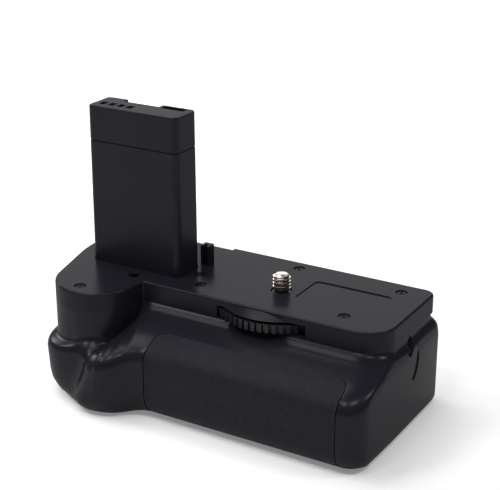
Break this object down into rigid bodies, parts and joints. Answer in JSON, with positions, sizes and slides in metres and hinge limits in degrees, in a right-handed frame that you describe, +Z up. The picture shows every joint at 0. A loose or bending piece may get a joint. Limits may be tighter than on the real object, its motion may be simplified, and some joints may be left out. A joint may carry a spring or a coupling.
{
  "type": "camera battery grip",
  "caption": "Moulded grip that screws under a reflex camera, with a tower for its battery well, a clamp wheel with a stud, a sliding battery tray and a portrait shutter button.",
  "frame": {"origin": "the mounting stud's axis at the level of the plate that meets the camera", "axes": "+X along the grip away from the tower, +Y towards the back with the tray, +Z up into the camera"},
  "size_m": [0.137, 0.0783, 0.0995],
  "materials": {
    "housing_plastic": "satin moulded charcoal",
    "cover_plastic": "fine matt moulded charcoal",
    "tower_plastic": "satin moulded charcoal",
    "pad_rubber": "grained black",
    "control_plastic": "satin black",
    "chamber_plastic": "plain moulded grey",
    "stud_metal": "bright nickel",
    "plate_steel": "plain",
    "screw_steel": "blackened",
    "bush_brass": "plain turned",
    "contact_gold": "gilt",
    "switch_plastic": "plain",
    "board_green": "lacquered"
  },
  "bodies": {
    "grip": {"main_housing": "housing_plastic", "base_plate": "housing_plastic", "top_cover": "cover_plastic", "cover_screws": "screw_steel", "plate_screws": "screw_steel", "base_screws": "screw_steel", "grip_rubber": "pad_rubber", "tower_shell": "tower_plastic", "tower_cap": "tower_plastic", "contact_blades": "contact_gold", "stud_plate": "plate_steel", "stud_bush": "bush_brass", "battery_cage": "chamber_plastic", "cage_contacts": "contact_gold", "shutter_collar": "control_plastic", "shutter_switch": "switch_plastic", "slide_switch": "switch_plastic", "tripod_socket": "stud_metal", "strap_bar": "plate_steel", "circuit_board": "board_green"},
    "clamp_wheel": {"thumbwheel": "control_plastic", "mounting_stud": "stud_metal", "stud_clip": "plate_steel", "wheel_screw": "plate_steel"},
    "tray": {"battery_tray": "chamber_plastic", "tray_panel": "housing_plastic", "tray_contacts": "contact_gold"},
    "lock": {"lock_knob": "control_plastic", "lock_bar": "plate_steel"},
    "shutter": {"shutter_button": "control_plastic"},
    "power": {"power_slider": "control_plastic"}
  },
  "joints": [
    {"name": "clamp_turn", "type": "hinge", "parent": "grip", "child": "clamp_wheel", "pos_m": [0, 0, 0], "axis": [0, 0, 1], "continuous": true},
    {"name": "tray_slide", "type": "slide", "parent": "grip", "child": "tray", "axis": [0, 1, 0], "range_m": [0, 0.058]},
    {"name": "lock_turn", "type": "hinge", "parent": "tray", "child": "lock", "pos_m": [0.002, 0.0258, -0.02495], "axis": [0, 1, 0], "range_deg": [0, 90]},
    {"name": "shutter_press", "type": "slide", "parent": "grip", "child": "shutter", "axis": [0.9397, 0, 0.342], "range_m": [0, 0.001], "stiffness_N_per_m": 600},
    {"name": "power_slide", "type": "slide", "parent": "grip", "child": "power", "axis": [1, 0, 0], "range_m": [0, 0.005]}
  ]
}
